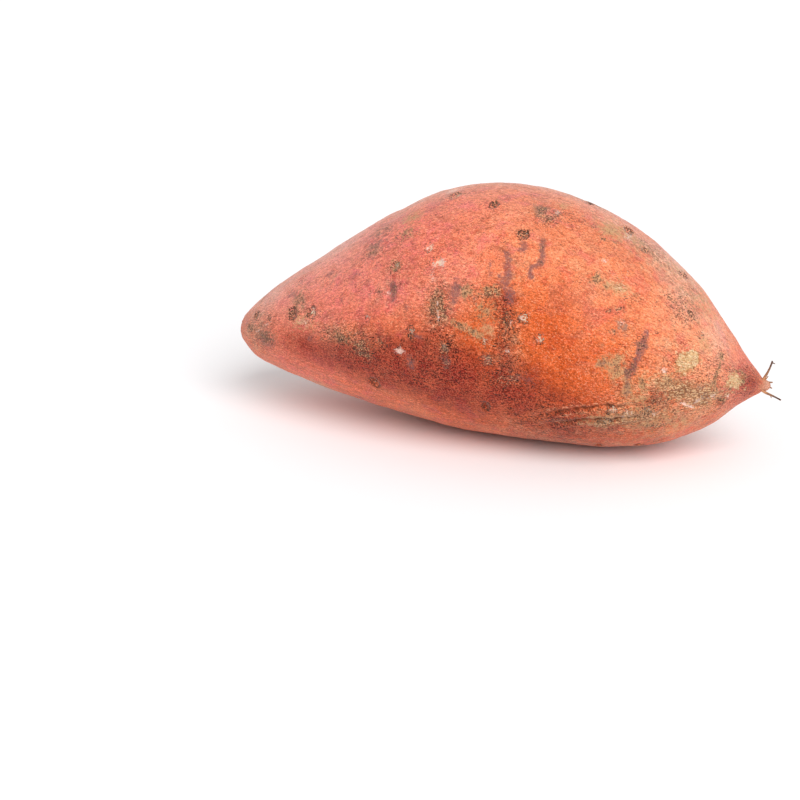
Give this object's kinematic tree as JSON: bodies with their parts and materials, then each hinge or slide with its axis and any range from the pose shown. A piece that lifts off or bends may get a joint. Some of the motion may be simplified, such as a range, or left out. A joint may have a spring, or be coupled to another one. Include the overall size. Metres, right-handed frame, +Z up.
{
  "type": "sweet potato",
  "caption": "Whole raw sweet potato, a plump spindle with a blunt vine end, a pointed root tip with fine rootlets, shallow eyes and skin folds; lies on its belly.",
  "frame": {"origin": "on the surface the root rests on, under the middle of its bounding box", "axes": "+X along the root from the vine end to the root tip, +Z up, -Y the side seen best in the picture"},
  "size_m": [0.1818, 0.0818, 0.0793],
  "materials": {
    "sweet_potato_skin": null
  },
  "bodies": {
    "root": {"sweet_potato": "sweet_potato_skin"}
  },
  "joints": []
}
